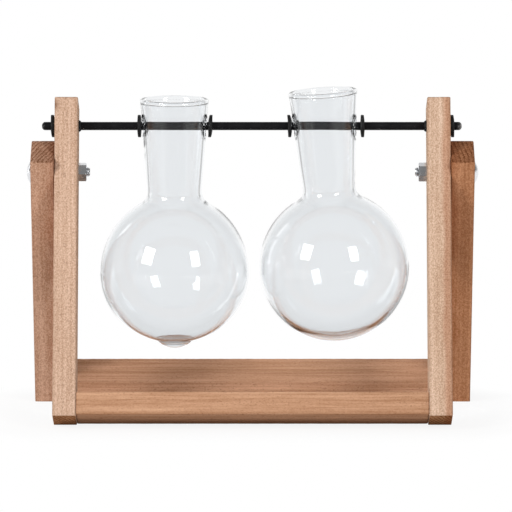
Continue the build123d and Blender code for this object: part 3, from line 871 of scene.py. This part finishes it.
def timber_figure(name):
    """Growth rings, streaks, mottling, pores and sawn ends of a pale hardwood, from a place in the log."""
    shares = dict.fromkeys(("Sawn", "Heart", "Edge", "Knot", "Straight"), "Float")
    colours = dict.fromkeys(("Tone", "Pale", "Brown", "Heartwood", "Sawn tint"), "Color")
    results = {"Color": "Color", "Roughness": "Float", "Height": "Float"}
    given, put = group_of(name, {"Grain": "Vector", **shares, **colours}, results)
    grain, sawn, straight, heartwood = (given[label] for label in ("Grain", "Sawn", "Straight", "Heartwood"))
    broad = noise(grain, (95, 95, 5), 4, 0.6)
    streak = noise(grain, (520, 520, 14), 3, 0.6)
    drift = noise(grain, (30, 30, 7), 2, 0.5)
    mottle = noise(grain, (950, 950, 190), 2, 0.65)
    fibre = noise(grain, (1500, 1500, 26), 2, 0.6)
    speck = noise(grain, (1150, 1150, 900), 2, 0.7).eased(0.36, 0.64)
    long_grain = noise(grain, (430, 430, 10), 4, 0.68, 0.5).eased(0.34, 0.66)
    fleck = speck * (1.0 - straight) + long_grain * straight
    across, deep, _ = parts_of(grain)
    far = across.reckon("SQRT", across * across + deep * deep)
    year = far * 410.0 + drift * 3.2
    ring = year.reckon("FRACT", year).eased(0.35, 1.0)
    pore_field = noise(grain, (300, 300, 18), 2, 0.5)
    pore = (noise(grain, (1500, 1500, 760), 1, 0.4) + pore_field * 0.22).eased(0.49, 0.41)
    depth = broad.eased(0.3, 0.72) * 0.34 + streak.eased(0.32, 0.7) * 0.18
    depth = depth + mottle.eased(0.36, 0.66) * 0.1 + fleck * 0.5 + ring * 0.12
    colour = mixed(depth, given["Pale"], given["Brown"])
    stripe = mixed(depth, heartwood, mixed(1.0, heartwood, (0.55, 0.45, 0.38), "MULTIPLY"))
    # Heartwood stripe: real in the right post, painted shade from the posts in the legs
    colour = mixed(given["Heart"], colour, stripe)
    # Pores, fibres and edges darken the colour; on a rail's underside the edge share is painted shade
    colour = mixed(pore * 0.32 + fibre * 0.12 + given["Edge"] * 0.24, colour, (0.17, 0.085, 0.045))
    colour = mixed(given["Knot"] * 0.85, colour, (0.17, 0.075, 0.035))
    pith = ring * broad.eased(0.3, 0.6, 0.45, 1.0) * 0.75
    end_tint = mixed(pith + speck * 0.5, given["Sawn tint"], (0.42, 0.32, 0.25))
    colour = mixed(sawn, colour, mixed(1.0, colour, end_tint, "MULTIPLY"))
    # Painted shade on the feet's undersides, which face the floor
    foot_shade = mixed(1.0, colour, (0.765, 0.595, 0.42), "MULTIPLY")
    colour = mixed(sawn - 1.0, colour, foot_shade)
    plug(mixed(1.0, colour, given["Tone"], "MULTIPLY"), put["Color"])
    plug(pore * 0.18 + streak * 0.14 + sawn * 0.1 + 0.62, put["Roughness"])
    plug(fibre * 0.35 - pore, put["Height"])


def handling_marks(name):
    """Fine scuffs and cloudy handling marks over a hard surface, from a place on the piece."""
    results = dict.fromkeys(("Scuff", "Cloud", "Height"), "Float")
    given, put = group_of(name, {"Place": "Vector", "Size": "Float"}, results)
    tree = given["Place"].tree
    sized = add(tree, "ShaderNodeVectorMath", operation="SCALE", Vector=given["Place"], Scale=given["Size"])
    place = Wire(sized.outputs[0])
    fine = noise(place, (2400, 700, 700), 3, 0.65).eased(0.55, 0.72)
    cross = noise(place, (500, 2600, 900), 3, 0.65, 0.4).eased(0.45, 0.7)
    plug(fine * cross, put["Scuff"])
    plug(noise(place, (160, 160, 160), 4, 0.6), put["Cloud"])
    plug(noise(place, (3200, 3200, 3200), 2, 0.5), put["Height"])


def blank_material(name):
    """A material holding only a Principled shader and its output."""
    material = bpy.data.materials.new(name)
    tree, surface = cleared(material, "ShaderNodeOutputMaterial")
    shader = tree.nodes.new("ShaderNodeBsdfPrincipled")
    plug(Wire(shader.outputs[0]), surface)
    return material, tree, shader, surface


def bumped(shader, height, strength, distance):
    """Feed a height into the shader's normal."""
    bump = add(height.tree, "ShaderNodeBump", Strength=strength, Distance=distance, Height=height)
    plug(Wire(bump.outputs[0]), shader.inputs["Normal"])


def timber_material(name, look, straight):
    """Oiled timber, read from the piece's own place in the log."""
    material, tree, shader, _ = blank_material(name + "_wood")
    figure = add(tree, "ShaderNodeGroup", node_tree=shared_group("timber_figure", timber_figure))
    for attribute in ("grain", "sawn", "heart", "edge", "knot"):
        source = add(tree, "ShaderNodeAttribute", attribute_name=attribute)
        value = source.outputs["Vector" if attribute == "grain" else "Fac"]
        plug(Wire(value), figure.inputs[attribute.title()])
    colours = {
        "Pale": look.pale, "Brown": look.brown, "Heartwood": look.heartwood, "Sawn tint": look.sawn_tint,
        "Tone": getattr(look, name),
    }
    for socket, colour in colours.items():
        plug(tuple(colour), figure.inputs[socket])
    figure.inputs["Straight"].default_value = straight
    plug(Wire(figure.outputs["Color"]), shader.inputs["Base Color"])
    plug(Wire(figure.outputs["Roughness"]), shader.inputs["Roughness"])
    shader.inputs["Specular IOR Level"].default_value = 0.0
    bumped(shader, Wire(figure.outputs["Height"]), 0.14, 0.12 * MM)
    return material


# Size of the handling marks, worn colour, wear, roughness, metallic, bump and gloss
MARKED_FINISHES = {
    "rod_paint": (1.0, (0.03, 0.03, 0.03), 0.35, 0.28, 0.0, 0.08, 0.12),
    "rubber": (1.3, (0.03, 0.03, 0.03), 0.5, 0.5, 0.0, 0.25, 0.2),
    "zinc_plate": (0.8, (0.50, 0.51, 0.53), 0.8, 0.17, 1.0, 0.12, 0.5),
    "screw_plate": (1.0, (0.33, 0.30, 0.24), 0.8, 0.32, 1.0, 0.12, 0.5),
}


def marked_material(name, colour):
    """A hard finish with handling marks: worn colour and more gloss or less where it is rubbed."""
    size, worn_colour, wear, roughness, metallic, bump, gloss = MARKED_FINISHES[name]
    material, tree, shader, _ = blank_material(name)
    marks = add(tree, "ShaderNodeGroup", node_tree=shared_group("handling_marks", handling_marks))
    marks.inputs["Size"].default_value = size
    plug(place_on(tree), marks.inputs["Place"])
    scuff, cloud, height = (Wire(marks.outputs[label]) for label in ("Scuff", "Cloud", "Height"))
    cloud = cloud.eased(0.35, 0.7)
    share = scuff * wear + cloud * (0.3 * wear)
    plug(mixed(share, tuple(colour), worn_colour), shader.inputs["Base Color"])
    plug(cloud * 0.14 + scuff * 0.12 + roughness, shader.inputs["Roughness"])
    shader.inputs["Metallic"].default_value = metallic
    shader.inputs["Specular IOR Level"].default_value = gloss
    bumped(shader, height, bump, 0.05 * MM)
    return material


def worn_tips(material, bare):
    """Rub the paint off a rod's two tips, in patches, down to bare metal's colour."""
    tree = material.node_tree
    shader = next(node for node in tree.nodes if node.type == "BSDF_PRINCIPLED")
    paint = Wire(shader.inputs["Base Color"].links[0].from_socket)
    place = place_on(tree)
    tip = abs(parts_of(place)[0] + 0.0012).eased(0.1238, 0.1262)
    patch = noise(place, (900, 700, 700), 3, 0.6).eased(0.42, 0.6)
    plug(mixed(tip * patch, paint, bare), shader.inputs["Base Color"])


def glass_material(name, tint):
    """Clear blown glass that lets lamp light through to what stands behind it."""
    material, tree, shader, surface = blank_material(name)
    # The tint is partly the glass's own grey-blue and partly painted shade, the grey of a backdrop seen
    # through the glass
    shader.inputs["Base Color"].default_value = (*tint, 1)
    shader.inputs["Transmission Weight"].default_value = 1
    shader.inputs["IOR"].default_value = 1.47
    place = place_on(tree)
    film = noise(place, (55, 55, 40), 3, 0.6)
    plug(film.eased(0.5, 0.8, 0.0, 0.012), shader.inputs["Roughness"])
    bumped(shader, noise(place, (90, 90, 14), 2, 0.5), 0.03, 1 * MM)
    clear = add(tree, "ShaderNodeBsdfTransparent", Color=(0.93, 0.94, 0.94))
    path = tree.nodes.new("ShaderNodeLightPath")
    blended(Wire(path.outputs["Is Shadow Ray"]), shader, clear, surface)
    return material


# Settings


def colour_setting(name, description, default):
    """A colour that a user may change."""
    return bpy.props.FloatVectorProperty(
        name=name, description=description, default=default, subtype="COLOR", size=3, min=0, max=1
    )


def number_setting(name, description, default, **kind):
    """A number that a user may change, with its unit, subtype or limits."""
    return bpy.props.FloatProperty(name=name, description=description, default=default, **kind)


class VASES_PG_timber(bpy.types.PropertyGroup):
    """Timber of the two frames."""

    edge_round: number_setting(
        "Edge rounding", "How far the sanded edges are rounded", 1.1 * MM, unit="LENGTH"
    )
    pale: colour_setting("Pale", "Palest wood of a strip of the palest tone", (0.889, 0.638, 0.473))
    brown: colour_setting("Brown", "Darkest wood of a strip of the palest tone", (0.456, 0.274, 0.171))
    # In the legs the heartwood stripes are painted shade from the posts
    heartwood: colour_setting("Heartwood", "Stripes in the right post and the legs", (0.67, 0.397, 0.262))
    sawn_tint: colour_setting("Sawn ends", "How the sawn ends darken the wood", (0.92, 0.88, 0.86))
    left_post: colour_setting("Left post", "Tone of the left post", (0.885, 0.879, 0.902))
    right_post: colour_setting("Right post", "Tone of the right post", (0.948, 0.973, 1.0))
    front_rail: colour_setting("Front rail", "Tone of the front rail", (0.809, 0.677, 0.580))
    left_leg: colour_setting("Left leg", "Tone of the left leg", (0.758, 0.665, 0.643))
    right_leg: colour_setting("Right leg", "Tone of the right leg", (0.631, 0.438, 0.320))
    rear_rail: colour_setting("Rear rail", "Tone of the rear rail", (0.702, 0.562, 0.482))
    rail_straightness: number_setting(
        "Straight rails", "Share of long grain in the rails", 0.72, min=0, max=1
    )


class VASES_PG_glass(bpy.types.PropertyGroup):
    """Glass of the two vases."""

    # Partly the glass's own grey-blue, partly painted shade of a grey backdrop seen through it
    tint: colour_setting("Tint", "Colour that each surface of the glass passes on", (0.925, 0.939, 0.951))


class VASES_PG_fittings(bpy.types.PropertyGroup):
    """Rod, washers, bolts, nuts and screws."""

    left_nut_turn: number_setting(
        "Left nut", "How far the left nut is turned", math.radians(46), subtype="ANGLE"
    )
    right_nut_turn: number_setting(
        "Right nut", "How far the right nut is turned", math.radians(56), subtype="ANGLE"
    )
    rod_black: colour_setting("Rod", "Paint of the rod", (0.0075, 0.0074, 0.0085))
    rod_bare: colour_setting("Rod tips", "Metal where the rod's paint is worn", (0.30, 0.29, 0.28))
    rubber_black: colour_setting("Rubber", "Rubber of the washers", (0.009, 0.009, 0.0095))
    zinc: colour_setting("Zinc", "Plating of the bolts and nuts", (0.86, 0.87, 0.89))
    steel: colour_setting("Screw steel", "Plating of the wood screws", (0.60, 0.56, 0.47))


class VASES_PG_stage(bpy.types.PropertyGroup):
    """Floor, light and camera."""

    left_window: number_setting("Left window", "Power of the left light", 9.5, min=0, unit="POWER")
    right_window: number_setting("Right window", "Power of the right light", 5.5, min=0, unit="POWER")
    back_strip: number_setting(
        "Back strip", "Power of the narrow light behind on the left", 0.8, min=0, unit="POWER"
    )
    room_light: number_setting("Room light", "Strength of the light from the room itself", 0.42, min=0)
    lens: number_setting("Lens", "Focal length in millimetres on a 36 mm sensor", 403.0, min=1)


SETTINGS = {
    "vases_timber": VASES_PG_timber, "vases_glass": VASES_PG_glass, "vases_fittings": VASES_PG_fittings,
    "vases_stage": VASES_PG_stage,
}


# Operators


class VASES_OT_timber(bpy.types.Operator):
    """Build the posts, legs and rails of the two frames"""

    bl_idname = "vases.timber"
    bl_label = "Timber frames"

    def execute(self, context):
        look = context.scene.vases_timber
        for seed, (name, (body, long_axis, across, height)) in enumerate(TIMBER.items(), 11):
            low = (across[0], -STRIP_DEPTH / 2, height[0])
            high = (across[1], STRIP_DEPTH / 2, height[1])
            grids = worn_strip(low, high, long_axis, look.edge_round, seed)
            stood = [(leaning(points, body), faces) for points, faces in grids]
            stood = [(np.maximum(points, [-np.inf, -np.inf, 0]), faces) for points, faces in stood]
            piece = object_of(mesh_of(name + "_timber", stood))
            if long_axis == 2:
                cut_from(piece, upright_holes(body, LEFT if across[0] < 0 else RIGHT))
            grain_of(piece, name, body, long_axis, low, high, seed)
            straight = look.rail_straightness if long_axis == 0 else 0.0
            finish_piece(piece, timber_material(name, look, straight), body, name, 35)
        return {"FINISHED"}


class VASES_OT_glass(bpy.types.Operator):
    """Build the two blown glass vases"""

    bl_idname = "vases.glass"
    bl_label = "Glass vases"

    def execute(self, context):
        material = glass_material("blown_glass", context.scene.vases_glass.tint)
        for name, vase in VASES.items():
            piece = object_of(vase_mesh(name + "_glass", vase))
            finish_piece(piece, material, name, name, 180)
        return {"FINISHED"}


class VASES_OT_rod(bpy.types.Operator):
    """Build the black rod"""

    bl_idname = "vases.rod"
    bl_label = "Hanging rod"

    def execute(self, context):
        look = context.scene.vases_fittings
        material = marked_material("rod_paint", look.rod_black)
        worn_tips(material, tuple(look.rod_bare))
        finish_piece(object_of(rod_mesh("hanging_rod_paint")), material, "rod", "hanging_rod")
        return {"FINISHED"}


class VASES_OT_washers(bpy.types.Operator):
    """Build the six push-on rubber washers and the two rubber stops"""

    bl_idname = "vases.washers"
    bl_label = "Rubber washers"

    def execute(self, context):
        material = marked_material("rubber", context.scene.vases_fittings.rubber_black)
        for name, (body, *tilts) in WASHERS.items():
            piece = object_of(washer_mesh(name + "_rubber", name, *np.radians(tilts)))
            finish_piece(piece, material, body, name)
        for side, name in ((LEFT, "left_rod_stop"), (RIGHT, "right_rod_stop")):
            piece = object_of(stop_mesh(name + "_rubber", name, side))
            finish_piece(piece, material, "rod", name)
        return {"FINISHED"}


class VASES_OT_bolts(bpy.types.Operator):
    """Build the carriage bolts and hexagon nuts at the pivot"""

    bl_idname = "vases.bolts"
    bl_label = "Bolts and nuts"

    def execute(self, context):
        look = context.scene.vases_fittings
        material = marked_material("zinc_plate", look.zinc)
        for side, word, turn in ((LEFT, "left", look.left_nut_turn), (RIGHT, "right", look.right_nut_turn)):
            bolt, nut = word + "_pivot_bolt", word + "_pivot_nut"
            piece = object_of(bolt_mesh(bolt + "_zinc", side))
            finish_piece(piece, material, "rear_frame", bolt, 30)
            piece = object_of(nut_mesh(nut + "_zinc", side, turn))
            finish_piece(piece, material, "rear_frame", nut, 25)
        return {"FINISHED"}


class VASES_OT_screws(bpy.types.Operator):
    """Give the countersunk screws their plating"""

    bl_idname = "vases.screws"
    bl_label = "Wood screws"

    def execute(self, context):
        material = marked_material("screw_plate", context.scene.vases_fittings.steel)
        for name in ("front_rail_screws", "rear_rail_screws"):
            node = frame["nodes"][name]
            node.data.materials.clear()
            node.data.materials.append(material)
        return {"FINISHED"}


def floor_material(name):
    """A white floor that takes the object's shadow near by and is plain white further off.

    Through the glass it is white too, but for a greyer band to either side well behind the vases and a slight
    shade nearer by. Mirrored, it is dark in front, but for two glints, and white behind and to the sides.
    """
    material = bpy.data.materials.new(name)
    tree, surface = cleared(material, "ShaderNodeOutputMaterial")
    lit = add(tree, "ShaderNodeBsdfDiffuse", Color=(0.93, 0.93, 0.93))
    glow = add(tree, "ShaderNodeEmission", Color=(1, 1, 1))
    camera, diffuse, glossy, passing, turned_back = light_paths(tree)
    x, y, _ = parts_of(place_on(tree))
    x = abs(x)
    aside = (x - 0.13).most(0.0) + (abs(y) - 0.065).most(0.0)
    seen = (camera * aside.eased(0.0, 0.05, 0.88, 1.0)).most(glossy).most(passing)
    # For diffuse rays the floor also glows: painted bounce light on the stand, fainter beneath it
    seen = seen.most(diffuse * aside.eased(0.0, 0.05, 0.12, 0.5))
    ahead = (y * -1.0).most(0.15)
    glint = abs(x / ahead - 1.1).eased(0.12, 0.3, 1.0, 0.0) * ahead.eased(0.2, 0.3)
    mirrored = y.eased(0.0, 0.12, 0.1, 1.0).most(x.eased(0.22, 0.5, 0.0, 0.8)).most(glint)
    off_band = abs(x / y.most(0.3) - 0.72) + y.eased(0.4, 0.3)
    shade = (turned_back * 0.33 + 0.12) * y.eased(0.0, 0.24, 1.0, 0.0)
    band = off_band.eased(0.1, 0.3, 0.5, 1.0) * passing * (1.0 - shade)
    strength = camera.most(diffuse).most(band).most((glossy - passing) * mirrored)
    plug(strength, glow.inputs["Strength"])
    blended(seen, lit, glow, surface)
    return material


def room_world(strength):
    """White for what is seen, dimmer for what is mirrored, and an even room light for what is lit."""
    world = bpy.data.worlds.new("room")
    tree, surface = cleared(world, "ShaderNodeOutputWorld")
    lit = add(tree, "ShaderNodeBackground", Color=(0.97, 0.985, 1), Strength=strength)
    seen = add(tree, "ShaderNodeBackground", Strength=1.0)
    camera, _, glossy, passing, turned_back = light_paths(tree)
    dark = parts_of(place_on(tree, "Generated"))[1].eased(0.5, 0.95, 0.2, 1.0)
    plug(dark.most(camera).most(passing * (1.0 - turned_back * 0.5)), seen.inputs["Color"])
    blended(camera.most(glossy).most(passing), lit, seen, surface)
    return world


def window_lamp(name, turn, climb, width, height, power):
    """A soft oblong light, so far round from the camera and so far up, that faces the vases."""
    lamp = bpy.data.lights.new(name, "AREA")
    lamp.shape, lamp.size, lamp.size_y, lamp.energy = "RECTANGLE", width, height, power
    made = bpy.data.objects.new(name, lamp)
    turn, climb = math.radians(turn), math.radians(climb)
    away = Vector((math.sin(turn) * math.cos(climb), -math.cos(turn) * math.cos(climb), math.sin(climb)))
    made.location = Vector(LAMP_AIM) + LAMP_DISTANCE * away
    made.rotation_euler = (-away).to_track_quat("-Z", "Y").to_euler()
    made.visible_camera = False
    bpy.context.scene.collection.objects.link(made)


class VASES_OT_stage(bpy.types.Operator):
    """Set the floor, the light and the camera"""

    bl_idname = "vases.stage"
    bl_label = "Floor, light and camera"

    def execute(self, context):
        scene, look = context.scene, context.scene.vases_stage
        across, along = np.meshgrid([-FLOOR_REACH, FLOOR_REACH], [-FLOOR_REACH, FLOOR_REACH])
        corners = np.stack([across, along, 0 * across], -1)
        floor = object_of(mesh_of("floor", [(corners, quads(2, 2, False))]))
        floor.data.materials.append(floor_material("white_floor"))
        scene.world = room_world(look.room_light)
        for name, lamp in LAMPS.items():
            window_lamp(name, *lamp, getattr(look, name))
        camera = bpy.data.cameras.new("camera")
        camera.lens, camera.sensor_width = look.lens, SENSOR_WIDTH
        camera.clip_start, camera.clip_end = 0.1, 60
        eye = bpy.data.objects.new("camera", camera)
        eye.location = CAMERA_PLACE
        eye.rotation_euler = (math.pi / 2 - CAMERA_DOWN, 0, 0)
        scene.collection.objects.link(eye)
        scene.camera = eye
        scene.view_settings.view_transform = "Standard"
        cycles = scene.cycles
        cycles.glossy_bounces = cycles.transmission_bounces = cycles.max_bounces = GLASS_BOUNCES
        return {"FINISHED"}


OPERATORS = (
    VASES_OT_timber, VASES_OT_glass, VASES_OT_rod, VASES_OT_washers, VASES_OT_bolts, VASES_OT_screws,
    VASES_OT_stage,
)


class VASES_PT_sidebar(bpy.types.Panel):
    """Lists the settings and the pieces in the order in which they are built"""

    bl_idname = "VASES_PT_sidebar"
    bl_label = "Bulb Vases"
    bl_space_type = "VIEW_3D"
    bl_region_type = "UI"
    bl_category = "Bulb Vases"

    def draw(self, context):
        for key, group in SETTINGS.items():
            box = self.layout.box()
            box.label(text=group.__doc__)
            for name in group.__annotations__:
                box.prop(getattr(context.scene, key), name)
        for operator in OPERATORS:
            self.layout.operator(operator.bl_idname)


CLASSES = (*SETTINGS.values(), *OPERATORS, VASES_PT_sidebar)


def register():
    for cls in CLASSES:
        bpy.utils.register_class(cls)
    for key, group in SETTINGS.items():
        setattr(bpy.types.Scene, key, bpy.props.PointerProperty(type=group))


def unregister():
    for key in SETTINGS:
        delattr(bpy.types.Scene, key)
    for cls in reversed(CLASSES):
        bpy.utils.unregister_class(cls)


def main():
    register()
    bpy.ops.vases.timber()
    bpy.ops.vases.glass()
    bpy.ops.vases.rod()
    bpy.ops.vases.washers()
    bpy.ops.vases.bolts()
    bpy.ops.vases.screws()
    bpy.ops.vases.stage()


if __name__ == "__main__":
    main()
